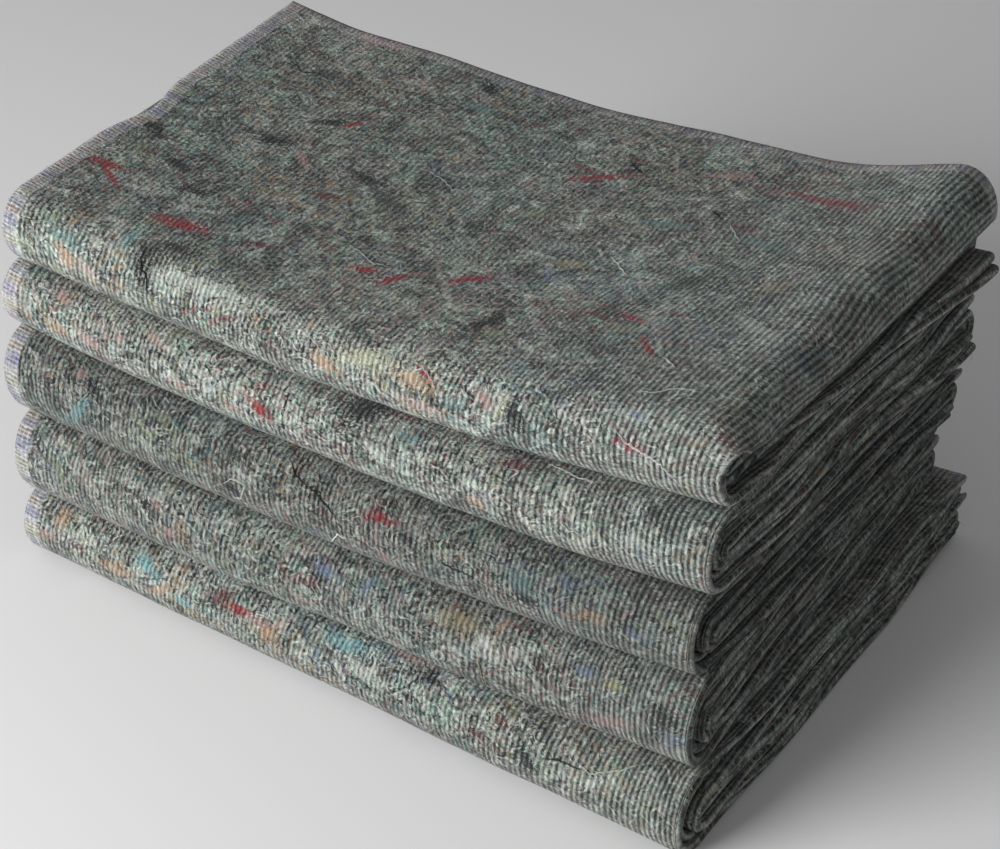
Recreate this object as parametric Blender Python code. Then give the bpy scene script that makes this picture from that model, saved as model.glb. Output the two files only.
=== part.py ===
"""Stack of five folded moving blankets.

Each blanket is one sheet of stitch-bonded felt, about 1.4 by 2.0 m. It is folded to and fro in four
across its width, which makes a book of four layers, and the book is then folded in half twice, so that
sixteen layers lie on each other and the last fold is the thick round one at the front.

Frame: metres, +X along the front folds, +Y to the back, +Z up. The origin is on the floor, under the
middle of the stack.
"""
import math

import bmesh
import bpy
import numpy as np

STACK = "moving_blanket_stack"

# One blanket as folded, before it settles in the stack
WIDTH = 0.500
DEPTH = 0.350
THICKNESS = 0.054
LAYERS = 16
PITCH = THICKNESS / LAYERS
SHEET = 0.0029
BOOK_LAYERS = 4
BOOK = BOOK_LAYERS * PITCH
ROLL = THICKNESS / 2
ROLL_FLATTENING = 0.85
STACK_GAP = 0.0002

# Where the sheet is divided, so that neighbouring layers bend at the same places
WIDTH_STEPS = (-0.15, -0.05, 0.05, 0.15)
RUN_SHARES = (0.0, 0.12, 0.56, 1.0)
ROLL_STEPS = 6
BACK_STEPS = 4
NOSE_STEPS = 2
OVERHANG_STEPS = 3

# Plan of each blanket, from the lowest up: where its corners lie.
# name, left x at the front, left x at the back, right x at the front, right x at the back,
# front y at the left, front y at the right, back y at the left, back y at the right
PLAN = (
    ("blanket_1", -0.256, -0.261, 0.264, 0.260, -0.180, -0.212, 0.166, 0.184),
    ("blanket_2", -0.252, -0.258, 0.262, 0.241, -0.184, -0.203, 0.163, 0.172),
    ("blanket_3", -0.252, -0.256, 0.257, 0.251, -0.181, -0.196, 0.162, 0.171),
    ("blanket_4", -0.254, -0.256, 0.257, 0.256, -0.176, -0.185, 0.160, 0.172),
    ("blanket_5", -0.250, -0.273, 0.255, 0.259, -0.171, -0.173, 0.163, 0.176),
)

# Middle of the stack's outline in this plan, which becomes the origin
MIDDLE_X = -0.00490
MIDDLE_Y = -0.01408

# Height of the floor and of each blanket's top, as the stack sags in its middle.
# front left, front middle, front right, back left, back middle, back right
LEVELS = (
    (0.000, 0.000, 0.000, 0.000, 0.000, 0.000),
    (0.051, 0.049, 0.057, 0.052, 0.050, 0.047),
    (0.112, 0.104, 0.116, 0.107, 0.100, 0.103),
    (0.173, 0.158, 0.165, 0.162, 0.150, 0.156),
    (0.217, 0.204, 0.216, 0.214, 0.200, 0.213),
    (0.264, 0.248, 0.268, 0.266, 0.251, 0.274),
)

# How the layers' edges lie in each blanket.
# name, uneven edges, depth of the pocket between the layers in the front roll's right end,
# how far the inner layers of the front roll stand back at that end,
# how much further the lowest folds reach at the back of the right side
EDGES = (
    ("blanket_1", 0.0026, 0.005, 0.001, 0.000),
    ("blanket_2", 0.0028, 0.004, 0.001, 0.000),
    ("blanket_3", 0.0030, 0.007, 0.002, 0.002),
    ("blanket_4", 0.0028, 0.003, 0.001, 0.007),
    ("blanket_5", 0.0028, 0.005, 0.001, 0.012),
)

# Swells and hollows of the top blanket's upper side.
# x, y, reach, rise
SWELLS = (
    (-0.150, 0.165, 0.055, 0.0045),
    (0.155, 0.165, 0.050, -0.0030),
    (0.240, 0.168, 0.046, 0.0045),
)

# A shallow notch in the top sheet's left edge: place from front to back, half width, depth
NOTCH = (0.41, 0.085, 0.0085)

# The top blanket's upper fold overhangs its right side and bends down over the layers below it
OVERHANGING = "blanket_5"
SHOULDER = 0.020
OVERHANG = 0.041
OVERHANG_START = WIDTH / 2 - SHOULDER - 2 * PITCH
OVERHANG_CLEARANCE = 0.0022

# The share of the overhang that is left where the top folds over to the front, and the share of the
# depth over which it comes to its full width
FRONT_OVERHANG = 0.7
OVERHANG_GROWTH = 0.12

# How far the pocket in the front roll's right end runs back, as a share of the depth, and where along
# the front the inner layers start to stand back
POCKET_SHARE = 0.3
STAND_BACK_START = 0.15
STAND_BACK_REACH = 0.10
INNER_ROLL_GAP = 0.0004

# Long and short waves of the layers' edges, and the steps between neighbouring free edges at the back
LONG_WAVE = 0.31
SHORT_WAVE = 0.17
LEFT_UNEVENNESS = 0.8
EDGE_STEP = 0.0012

# How many layers lie above the two right-hand folds in each part of the folded book
LAYERS_ABOVE = {
    "upper outer": (0, 2),
    "front outer": (0, 2),
    "lower outer": (14, 12),
    "back": (8, 10),
    "lower inner": (8, 10),
    "front inner": (6, 4),
    "upper inner": (6, 4),
}

# Colour and surface of the felt
FELT_COLOUR = (0.165, 0.175, 0.165, 1.0)
FELT_ROUGHNESS = 0.95


def clear_scene():
    for obj in list(bpy.data.objects):
        bpy.data.objects.remove(obj, do_unlink=True)


def smooth_step(value):
    value = min(max(value, 0.0), 1.0)
    return value * value * (3 - 2 * value)


def mix(start, end, share):
    return start + (end - start) * share


def ripple(along, seed):
    """An even-handed wave between about -1 and 1 along a length in metres, different for each seed."""
    slow = math.sin(2 * math.pi * along / LONG_WAVE + 2.4 * seed)
    quick = math.sin(2 * math.pi * along / SHORT_WAVE + 1.3 * seed + 0.7)
    return 0.62 * slow + 0.38 * quick


def through_three(left, middle, right, share):
    """A curve through a value at the left end, the middle and the right end."""
    return (left * (1 - share) * (1 - 2 * share)
            + middle * 4 * share * (1 - share)
            + right * share * (2 * share - 1))


def level_height(level, x, y):
    front = through_three(*level[:3], x / WIDTH + 0.5)
    back = through_three(*level[3:], x / WIDTH + 0.5)
    height = mix(front, back, y / DEPTH + 0.5)
    if level is LEVELS[-1]:
        for swell_x, swell_y, reach, rise in SWELLS:
            height += rise * math.exp(-((x - swell_x) ** 2 + (y - swell_y) ** 2) / reach ** 2)
    return height


class Blanket:
    """One blanket: the fold of its sheet, and its settling between its neighbours in the stack."""

    def __init__(self, index):
        (self.name, self.left_front, self.left_back, self.right_front, self.right_back,
         self.front_left, self.front_right, self.back_left, self.back_right) = PLAN[index]
        _, self.uneven, self.pocket, self.stand_back, self.low_reach = EDGES[index]
        self.below = LEVELS[index]
        self.above = LEVELS[index + 1]
        self.index = index
        self.lowest = index == 0
        self.overhangs = self.name == OVERHANGING

    # The book of four layers, folded to and fro across the width

    def right_nose(self, fold, row):
        """How far right the fold between two layers reaches, at one row of the sheet."""
        reach = WIDTH / 2 - self.uneven * (1 + ripple(row["along"], 3 * self.index + fold))
        if fold == 1:
            reach -= self.pocket * row["front_roll"]
        if row["part"] == "lower outer":
            reach += self.low_reach * smooth_step(2 * row["back_share"] - 1)
        if self.overhangs:
            reach = min(reach, self.under_overhang(row["layers_above"][fold]))
        return reach

    def under_overhang(self, layers_above):
        """How far right a fold may reach where the top fold overhangs it."""
        if layers_above < 2 or layers_above > 10:
            return math.inf
        below_shoulder = (layers_above - 2) * PITCH
        if below_shoulder >= SHOULDER:
            return OVERHANG_START + SHOULDER - OVERHANG_CLEARANCE
        rise = SHOULDER - below_shoulder - (PITCH - SHEET) / 2
        top_corner = math.sqrt(SHOULDER ** 2 - rise ** 2) - OVERHANG_CLEARANCE
        nose_radius = (PITCH + SHEET) / 2
        return OVERHANG_START + min(top_corner + nose_radius, SHOULDER - OVERHANG_CLEARANCE)

    def left_edge(self, edge, row):
        if self.overhangs and edge == 0 and row["part"] == "upper outer":
            place, half_width, depth = NOTCH
            return -WIDTH / 2 + depth * math.exp(-((row["back_share"] - place) / half_width) ** 2)
        wave = ripple(row["along"], 3 * self.index + edge + 11)
        return -WIDTH / 2 + LEFT_UNEVENNESS * self.uneven * (1 + wave)

    def nose_centre(self, fold, row):
        if self.overhangs and fold == 0 and row["overhang"] > 0:
            straight = self.right_nose(fold, row) - OVERHANG_START
            reach = OVERHANG_START + mix(straight, OVERHANG, row["overhang"])
        else:
            reach = self.right_nose(fold, row)
        return reach - (PITCH + SHEET) / 2

    def bend_over(self, across, depth, row):
        """Bends the overhanging fold down round the shoulder of the layers below it."""
        past = across - OVERHANG_START
        if not self.overhangs or row["overhang"] == 0 or past <= 0 or depth > 2 * PITCH:
            return across, depth
        radius = (SHOULDER + PITCH) / row["overhang"]
        angle = min(past / radius, math.pi / 2)
        beyond = past - angle * radius
        own_radius = radius + PITCH - depth
        across = OVERHANG_START + own_radius * math.sin(angle) + beyond * math.cos(angle)
        depth = PITCH + radius - own_radius * math.cos(angle) + beyond * math.sin(angle)
        return across, depth

    def columns(self):
        """Stations across the sheet: ("panel", layer, place) or ("nose", fold, angle)."""
        stations = []
        for layer in range(BOOK_LAYERS):
            places = [("edge", "left")] + [("at", x) for x in WIDTH_STEPS]
            if self.overhangs:
                steps = OVERHANG_STEPS if layer < 2 else 1
                places += [("overhang", step / steps) for step in range(steps)]
            places += [("edge", "right")]
            if layer % 2:
                places.reverse()
            stations += [("panel", layer, place) for place in places]
            if layer < BOOK_LAYERS - 1:
                stations += [("nose", layer, step / NOSE_STEPS) for step in range(1, NOSE_STEPS)]
        return stations

    def across_sheet(self, station, side, row):
        """Place across the width, and depth below the book's outer face, of one face of the sheet."""
        kind, layer, place = station
        half = SHEET / 2
        if kind == "nose":
            turn = (place - 0.5) * math.pi
            outward = 1 if layer != 1 else -1
            radius = PITCH / 2 + half * side * outward
            if layer == 1:
                centre = self.left_edge(1, row) + (PITCH + SHEET) / 2
            else:
                centre = self.nose_centre(layer // 2, row)
            across = centre + outward * radius * math.cos(turn)
            depth = (layer + 1) * PITCH + radius * math.sin(turn)
        else:
            across = self.panel_place(layer, place, row)
            depth = (layer + 0.5) * PITCH - half * side * (1 if layer % 2 == 0 else -1)
        return self.bend_over(across, depth, row)

    def panel_place(self, layer, place, row):
        kind, value = place
        if kind == "at":
            return value
        right = self.nose_centre(layer // 2, row)
        if kind == "overhang":
            return mix(OVERHANG_START, right, value)
        if value == "right":
            return right
        if layer in (1, 2):
            return self.left_edge(1, row) + (PITCH + SHEET) / 2
        return self.left_edge(layer, row)

    # The book's two folds across the depth, the last one at the front

    def rows(self):
        """Stations along the sheet, from its free end at the top back round to the other free end."""
        stations = []
        runs = ("upper outer", "lower outer", "lower inner", "upper inner")
        turns = ("front outer", "back", "front inner")
        turn_steps = {"front outer": ROLL_STEPS, "back": BACK_STEPS, "front inner": ROLL_STEPS}
        for number, run in enumerate(runs):
            shares = RUN_SHARES if number % 2 else [1 - share for share in reversed(RUN_SHARES)]
            stations += [self.run_row(run, number, share) for share in shares]
            if number < len(turns):
                turn = turns[number]
                steps = turn_steps[turn]
                stations += [self.turn_row(turn, number, step / steps) for step in range(1, steps)]
        return stations

    def run_row(self, run, number, share):
        to_front = number % 2 == 0
        back_share = 1 - share if to_front else share
        overhang = mix(FRONT_OVERHANG, 1.0, smooth_step(back_share / OVERHANG_GROWTH))
        return {
            "part": run,
            "back_share": back_share,
            "turn": None,
            "along": number * DEPTH + share * DEPTH,
            "front_roll": smooth_step(1 - back_share / POCKET_SHARE) if "outer" in run else 0.0,
            "overhang": overhang if run == "upper outer" else 0.0,
            "layers_above": LAYERS_ABOVE["back" if run == "lower outer" and back_share == 1 else run],
        }

    def turn_row(self, turn, number, share):
        outer = turn == "front outer"
        return {
            "part": turn,
            "back_share": 0.0,
            "turn": share * math.pi,
            "along": (number + 1) * DEPTH + (share - 0.5) * 0.04,
            "front_roll": 1.0 if outer else 0.0,
            "overhang": FRONT_OVERHANG * smooth_step(1 - share / 0.5) if outer else 0.0,
            "layers_above": LAYERS_ABOVE["lower outer" if outer and share > 0.6 else turn],
        }

    def front_centre(self, across, inner):
        if not inner:
            return ROLL
        at_right_end = smooth_step((across - STAND_BACK_START) / STAND_BACK_REACH)
        return ROLL + INNER_ROLL_GAP + self.stand_back * at_right_end

    def back_end(self, part, across, depth):
        """How far back a run reaches: a free edge of each layer, or the centre of the back fold."""
        layer = int(depth / PITCH)
        if part in ("lower outer", "lower inner"):
            return DEPTH - BOOK - self.uneven * (1 + ripple(across, self.index + 5))
        number = layer if part == "upper outer" else layer + BOOK_LAYERS
        wave = ripple(across + 0.1 * self.index, self.index + 0.5 * number)
        return DEPTH - self.uneven * (1 + wave) - EDGE_STEP * (number % 3)

    def along_book(self, row, across, depth, edge_depth):
        """Place from front to back and height of one point of the book, in the folded blanket."""
        part = row["part"]
        if row["turn"] is None:
            front = self.front_centre(across, "inner" in part)
            back = self.back_end(part, across, edge_depth)
            place = mix(front, back, row["back_share"])
            height = {
                "upper outer": THICKNESS - depth,
                "lower outer": depth,
                "lower inner": ROLL - depth,
                "upper inner": ROLL + depth,
            }[part]
            return place, height
        angle = row["turn"]
        if part == "front outer":
            radius = ROLL - depth
            return ROLL - radius * math.sin(angle), ROLL + radius * math.cos(angle)
        if part == "front inner":
            centre = self.front_centre(across, True)
            return centre - depth * math.sin(angle), ROLL - depth * math.cos(angle)
        radius = BOOK - depth
        centre = self.back_end("lower outer", across, edge_depth)
        return centre + radius * math.sin(angle), BOOK - radius * math.cos(angle)

    # The blanket in the stack

    def settle(self, across, place, height):
        """Moves a point of the folded blanket to where it lies in the stack."""
        if place < ROLL:
            place *= ROLL_FLATTENING
        else:
            place -= (1 - ROLL_FLATTENING) * ROLL
        width_share = across / WIDTH + 0.5
        depth_share = place / (DEPTH - (1 - ROLL_FLATTENING) * ROLL)
        left = mix(self.left_front, self.left_back, depth_share)
        right = mix(self.right_front, self.right_back, depth_share)
        front = mix(self.front_left, self.front_right, width_share)
        back = mix(self.back_left, self.back_right, width_share)
        x = mix(left, right, width_share)
        y = mix(front, back, depth_share)
        spare = (THICKNESS / LAYERS - SHEET) / 2 if self.lowest else 0.0
        height_share = (height - spare) / (THICKNESS - spare)
        bottom = level_height(self.below, x, y) + (0.0 if self.lowest else STACK_GAP)
        top = level_height(self.above, x, y) - STACK_GAP
        return x - MIDDLE_X, y - MIDDLE_Y, mix(bottom, top, height_share)

    def point(self, station, row, side):
        across, depth = self.across_sheet(station, side, row)
        layer_depth = (station[1] + 0.5) * PITCH
        place, height = self.along_book(row, across, depth, layer_depth)
        return self.settle(across, place, height)


def felt_material(name):
    material = bpy.data.materials.new(name)
    material.use_nodes = True
    shader = material.node_tree.nodes["Principled BSDF"]
    shader.inputs["Base Color"].default_value = FELT_COLOUR
    shader.inputs["Roughness"].default_value = FELT_ROUGHNESS
    shader.inputs["Metallic"].default_value = 0.0
    return material


def split_quads(shape):
    """Splits each face along the same diagonal, seen from above, so that no layer cuts the next."""
    for face in list(shape.faces):
        corners = sorted(face.verts, key=lambda vert: vert.co.x + vert.co.y)
        if not shape.edges.get((corners[0], corners[-1])):
            bmesh.utils.face_split(face, corners[0], corners[-1])


def sheet_mesh(blanket):
    """A flat grid, given its thickness by an extrusion, with each vertex moved to its place in the folds."""
    columns = blanket.columns()
    rows = blanket.rows()
    across_steps = len(columns) - 1
    along_steps = len(rows) - 1
    shape = bmesh.new()
    bmesh.ops.create_grid(shape, x_segments=across_steps, y_segments=along_steps, size=0.5)
    lower = [(vert, 1) for vert in shape.verts]
    extruded = bmesh.ops.extrude_face_region(shape, geom=list(shape.faces))
    upper = [(item, -1) for item in extruded["geom"] if isinstance(item, bmesh.types.BMVert)]
    for vert, side in lower + upper:
        station = columns[round((vert.co.x + 0.5) * across_steps)]
        row = rows[round((vert.co.y + 0.5) * along_steps)]
        vert.co = np.round(blanket.point(station, row, side), 7)
    split_quads(shape)
    bmesh.ops.recalc_face_normals(shape, faces=list(shape.faces))
    if shape.calc_volume(signed=True) < 0:
        bmesh.ops.reverse_faces(shape, faces=list(shape.faces))
    mesh = bpy.data.meshes.new(blanket.name)
    shape.to_mesh(mesh)
    shape.free()
    return mesh


def add_blanket(index, collection):
    blanket = Blanket(index)
    mesh = sheet_mesh(blanket)
    mesh.materials.append(felt_material("felt_" + str(index + 1)))
    collection.objects.link(bpy.data.objects.new(blanket.name, mesh))


def main():
    clear_scene()
    collection = bpy.data.collections.new(STACK)
    bpy.context.scene.collection.children.link(collection)
    for index in range(len(PLAN)):
        add_blanket(index, collection)


main()
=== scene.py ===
import math
import random

import bmesh
import bpy
import numpy as np
from mathutils import Matrix, Vector, noise
from mathutils.bvhtree import BVHTree
from mathutils.geometry import barycentric_transform


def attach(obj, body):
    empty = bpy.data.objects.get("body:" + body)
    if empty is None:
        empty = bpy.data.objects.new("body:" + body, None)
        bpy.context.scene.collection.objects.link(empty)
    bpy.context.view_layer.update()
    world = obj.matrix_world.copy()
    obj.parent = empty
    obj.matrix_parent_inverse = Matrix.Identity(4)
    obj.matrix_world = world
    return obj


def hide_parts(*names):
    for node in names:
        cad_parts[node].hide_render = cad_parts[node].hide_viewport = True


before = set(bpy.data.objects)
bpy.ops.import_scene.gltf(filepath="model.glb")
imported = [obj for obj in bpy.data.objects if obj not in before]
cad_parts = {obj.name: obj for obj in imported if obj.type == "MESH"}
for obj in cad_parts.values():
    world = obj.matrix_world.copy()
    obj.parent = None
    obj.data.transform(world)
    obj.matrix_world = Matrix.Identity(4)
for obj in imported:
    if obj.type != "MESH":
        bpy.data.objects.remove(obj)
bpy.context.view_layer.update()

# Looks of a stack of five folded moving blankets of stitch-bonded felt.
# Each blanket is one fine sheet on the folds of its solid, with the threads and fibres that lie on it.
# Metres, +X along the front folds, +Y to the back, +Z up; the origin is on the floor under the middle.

SEED = 41

# One blanket as folded, before it settles in the stack: the sizes of the solids
WIDTH = 0.500
DEPTH = 0.350
THICKNESS = 0.054
LAYERS = 16
PITCH = THICKNESS / LAYERS
SHEET = 0.0029
BOOK_LAYERS = 4
BOOK = BOOK_LAYERS * PITCH
ROLL = THICKNESS / 2
ROLL_FLATTENING = 0.85
STACK_GAP = 0.0002

# Where the fine sheet is divided
ACROSS_STEP = 0.0105
INSIDE_LEFT = -0.232
INSIDE_RIGHT = 0.2165
RUN_ENDS = (0.01, 0.03, 0.06)
RUN_STEPS = 25
FRONT_STEPS = 18
BACK_STEPS = 10
INNER_STEPS = 10
NOSE_STEPS = 6
OVERHANG_STEPS = 8
EDGE_ROUNDING = 0.003
EDGE_SHARE = 0.5

# Plan of each blanket, from the lowest up: where its corners lie.
# name, left x at the front, left x at the back, right x at the front, right x at the back,
# front y at the left, front y at the right, back y at the left, back y at the right
PLAN = (
    ("blanket_1", -0.256, -0.261, 0.264, 0.260, -0.180, -0.212, 0.166, 0.184),
    ("blanket_2", -0.252, -0.258, 0.262, 0.241, -0.184, -0.203, 0.163, 0.172),
    ("blanket_3", -0.252, -0.256, 0.257, 0.251, -0.181, -0.196, 0.162, 0.171),
    ("blanket_4", -0.254, -0.256, 0.257, 0.256, -0.176, -0.185, 0.160, 0.172),
    ("blanket_5", -0.250, -0.273, 0.255, 0.259, -0.171, -0.173, 0.163, 0.176),
)
MIDDLE_X = -0.00490
MIDDLE_Y = -0.01408

# Height of the floor and of each blanket's top, as the stack sags in its middle.
# front left, front middle, front right, back left, back middle, back right
LEVELS = (
    (0.000, 0.000, 0.000, 0.000, 0.000, 0.000),
    (0.051, 0.049, 0.057, 0.052, 0.050, 0.047),
    (0.112, 0.104, 0.116, 0.107, 0.100, 0.103),
    (0.173, 0.158, 0.165, 0.162, 0.150, 0.156),
    (0.217, 0.204, 0.216, 0.214, 0.200, 0.213),
    (0.264, 0.248, 0.268, 0.266, 0.251, 0.274),
)

# How the layers' edges lie in each blanket.
# name, uneven edges, depth of the pocket between the layers in the front roll's right end,
# how far the inner layers of the front roll stand back at that end,
# how much further the lowest folds reach at the back of the right side
EDGES = (
    ("blanket_1", 0.0026, 0.005, 0.001, 0.000),
    ("blanket_2", 0.0028, 0.004, 0.001, 0.000),
    ("blanket_3", 0.0030, 0.007, 0.002, 0.002),
    ("blanket_4", 0.0028, 0.003, 0.001, 0.007),
    ("blanket_5", 0.0028, 0.005, 0.001, 0.012),
)

# Swells and hollows of the top blanket's upper side.
# x, y, reach, rise
SWELLS = (
    (-0.150, 0.165, 0.055, 0.0045),
    (0.155, 0.165, 0.050, -0.0030),
    (0.240, 0.168, 0.046, 0.0045),
)

# A shallow notch in the top sheet's left edge: place from front to back, half width, depth
NOTCH = (0.41, 0.085, 0.0085)

# The top blanket's upper fold overhangs its right side and bends down over the layers below it
OVERHANGING = "blanket_5"
SHOULDER = 0.020
OVERHANG = 0.041
OVERHANG_START = WIDTH / 2 - SHOULDER - 2 * PITCH
OVERHANG_CLEARANCE = 0.0022
FRONT_OVERHANG = 0.7

# How many layers lie above the two right-hand folds in each part of the folded book
LAYERS_ABOVE = {
    "upper outer": (0, 2),
    "front outer": (0, 2),
    "lower outer": (14, 12),
    "back": (8, 10),
    "lower inner": (8, 10),
    "front inner": (6, 4),
    "upper inner": (6, 4),
}

# The parts that follow each other along the sheet, and the flat length of each
RUN_LENGTH = DEPTH - ROLL
PARTS = (
    ("upper outer", RUN_LENGTH),
    ("front outer", math.pi * ROLL),
    ("lower outer", RUN_LENGTH),
    ("back", math.pi * BOOK),
    ("lower inner", RUN_LENGTH),
    ("front inner", math.pi * BOOK),
    ("upper inner", RUN_LENGTH),
)
WHOLE_LENGTH = sum(length for _, length in PARTS)
OUTER_FACE = 1
INNER_FACE = -1

# Camera, solved from the straight edges of the stack in the photograph
CAMERA_TARGET = Vector((0.0365 - MIDDLE_X, -0.0495 - MIDDLE_Y, 0.1355))
CAMERA_AZIMUTH = math.radians(32.80)
CAMERA_ELEVATION = math.radians(32.94)
CAMERA_DISTANCE = 1.554
CAMERA_LENS = 90.3
SENSOR_WIDTH = 36.0
PHOTO_WIDTH = 1000
PHOTO_HEIGHT = 849


def smooth_step(value):
    value = min(max(value, 0.0), 1.0)
    return value * value * (3 - 2 * value)


def mix(start, end, share):
    return start + (end - start) * share


def ripple(along, seed):
    """An even-handed wave between about -1 and 1 along a length in metres, different for each seed."""
    slow = math.sin(2 * math.pi * along / 0.31 + 2.4 * seed)
    quick = math.sin(2 * math.pi * along / 0.17 + 1.3 * seed + 0.7)
    return 0.62 * slow + 0.38 * quick


def through_three(left, middle, right, share):
    """A curve through a value at the left end, the middle and the right end."""
    return (left * (1 - share) * (1 - 2 * share)
            + middle * 4 * share * (1 - share)
            + right * share * (2 * share - 1))


def level_height(level, x, y):
    front = through_three(*level[:3], x / WIDTH + 0.5)
    back = through_three(*level[3:], x / WIDTH + 0.5)
    height = mix(front, back, y / DEPTH + 0.5)
    if level is LEVELS[-1]:
        for swell_x, swell_y, reach, rise in SWELLS:
            height += rise * math.exp(-((x - swell_x) ** 2 + (y - swell_y) ** 2) / reach ** 2)
    return height


# Small unevenness of the whole stack: how far it moves a point, and over what length it changes.
# move along x, move along y, move up, length
UNEVENNESS = (
    (0.0010, 0.0016, 0.0013, 0.085),
    (0.0004, 0.0006, 0.0005, 0.033),
)
FIRM_BELOW = 0.012


def uneven(place):
    """Moves a point by a smooth small amount, the same for all that lies there, and none at the floor."""
    moved = place.copy()
    firm = smooth_step(place.z / FIRM_BELOW)
    for number, (along_x, along_y, up, length) in enumerate(UNEVENNESS):
        wave = noise.noise_vector(place / length + Vector((7.1 * number, 3.3, 1.7)))
        moved += Vector((along_x * wave.x, along_y * wave.y, up * wave.z * firm))
    return moved


class Blanket:
    """One blanket: the fold of its sheet, and its settling between its neighbours in the stack."""

    def __init__(self, index):
        (self.name, self.left_front, self.left_back, self.right_front, self.right_back,
         self.front_left, self.front_right, self.back_left, self.back_right) = PLAN[index]
        _, self.uneven, self.pocket, self.stand_back, self.low_reach = EDGES[index]
        self.below = LEVELS[index]
        self.above = LEVELS[index + 1]
        self.index = index
        self.lowest = index == 0
        self.overhangs = self.name == OVERHANGING

    # The book of four layers, folded to and fro across the width

    def right_nose(self, fold, row):
        """How far right the fold between two layers reaches, at one row of the sheet."""
        reach = WIDTH / 2 - self.uneven * (1 + ripple(row["along"], 3 * self.index + fold))
        if fold == 1:
            reach -= self.pocket * row["front_roll"]
        if row["part"] == "lower outer":
            reach += self.low_reach * smooth_step(2 * row["back_share"] - 1)
        if self.overhangs:
            reach = min(reach, self.under_overhang(row["layers_above"][fold]))
        return reach

    def under_overhang(self, layers_above):
        """How far right a fold may reach where the top fold overhangs it."""
        if layers_above < 2 or layers_above > 10:
            return math.inf
        below_shoulder = (layers_above - 2) * PITCH
        if below_shoulder >= SHOULDER:
            return OVERHANG_START + SHOULDER - OVERHANG_CLEARANCE
        rise = SHOULDER - below_shoulder - (PITCH - SHEET) / 2
        top_corner = math.sqrt(SHOULDER ** 2 - rise ** 2) - OVERHANG_CLEARANCE
        nose_radius = (PITCH + SHEET) / 2
        return OVERHANG_START + min(top_corner + nose_radius, SHOULDER - OVERHANG_CLEARANCE)

    def left_edge(self, edge, row):
        if self.overhangs and edge == 0 and row["part"] == "upper outer":
            place, half_width, depth = NOTCH
            return -WIDTH / 2 + depth * math.exp(-((row["back_share"] - place) / half_width) ** 2)
        return -WIDTH / 2 + 0.8 * self.uneven * (1 + ripple(row["along"], 3 * self.index + edge + 11))

    def left_end(self, layer, row):
        """Where a layer's panel ends on the left: at its free edge, or at the centre of its fold."""
        if layer in (1, 2):
            return self.left_edge(1, row) + (PITCH + SHEET) / 2
        return self.left_edge(layer, row)

    def nose_centre(self, fold, row):
        if self.overhangs and fold == 0 and row["overhang"] > 0:
            straight = self.right_nose(fold, row) - OVERHANG_START
            reach = OVERHANG_START + mix(straight, OVERHANG, row["overhang"])
        else:
            reach = self.right_nose(fold, row)
        return reach - (PITCH + SHEET) / 2

    def bend_over(self, across, depth, row):
        """Bends the overhanging fold down round the shoulder of the layers below it."""
        past = across - OVERHANG_START
        if not self.overhangs or row["overhang"] == 0 or past <= 0 or depth > 2 * PITCH:
            return across, depth
        radius = (SHOULDER + PITCH) / row["overhang"]
        angle = min(past / radius, math.pi / 2)
        beyond = past - angle * radius
        own_radius = radius + PITCH - depth
        across = OVERHANG_START + own_radius * math.sin(angle) + beyond * math.cos(angle)
        depth = PITCH + radius - own_radius * math.cos(angle) + beyond * math.sin(angle)
        return across, depth

    def columns(self):
        """Stations across the sheet: ("panel", layer, place) or ("nose", fold, angle)."""
        inside = np.arange(INSIDE_LEFT, INSIDE_RIGHT, ACROSS_STEP)
        stations = []
        for layer in range(BOOK_LAYERS):
            places = [("edge", "left"), ("from left", EDGE_ROUNDING)] + [("at", x) for x in inside]
            if self.overhangs:
                steps = OVERHANG_STEPS if layer < 2 else 1
                places += [("overhang", step / steps) for step in range(steps)]
            places += [("edge", "right")]
            if layer % 2:
                places.reverse()
            stations += [("panel", layer, place) for place in places]
            if layer < BOOK_LAYERS - 1:
                stations += [("nose", layer, step / NOSE_STEPS) for step in range(1, NOSE_STEPS)]
        return stations

    def panel_place(self, layer, place, row):
        kind, value = place
        if kind == "at":
            return value
        if kind == "from left":
            return self.left_end(layer, row) + value
        right = self.nose_centre(layer // 2, row)
        if kind == "overhang":
            return mix(OVERHANG_START, right, value)
        return right if value == "right" else self.left_end(layer, row)

    def across_sheet(self, station, side, row):
        """Place across the width, and depth below the book's outer face, of one face of the sheet."""
        kind, layer, place = station
        half = SHEET / 2 * self.edge_share(station, row)
        if kind == "nose":
            turn = (place - 0.5) * math.pi
            outward = 1 if layer != 1 else -1
            radius = PITCH / 2 + half * side * outward
            if layer == 1:
                centre = self.left_end(1, row)
            else:
                centre = self.nose_centre(layer // 2, row)
            across = centre + outward * radius * math.cos(turn)
            depth = (layer + 1) * PITCH + radius * math.sin(turn)
        else:
            across = self.panel_place(layer, place, row)
            depth = (layer + 0.5) * PITCH - half * side * (1 if layer % 2 == 0 else -1)
        return across, depth

    def edge_share(self, station, row):
        """The sheet is thinner where the overlocking draws its edge together."""
        at_side = station[1] in (0, 3) and station[2] == ("edge", "left")
        at_end = row["flat"] in (0.0, WHOLE_LENGTH)
        return EDGE_SHARE if at_side or at_end else 1.0

    def flat_across(self, station, across):
        """Place across the flat sheet, from its first long edge."""
        kind, layer, place = station
        if kind == "nose":
            return (layer + 1) * WIDTH + (place - 0.5) * math.pi * PITCH / 2
        if layer % 2:
            return (layer + 1) * WIDTH - (across + WIDTH / 2)
        return layer * WIDTH + across + WIDTH / 2

    # The book's two folds across the depth, the last one at the front

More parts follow.
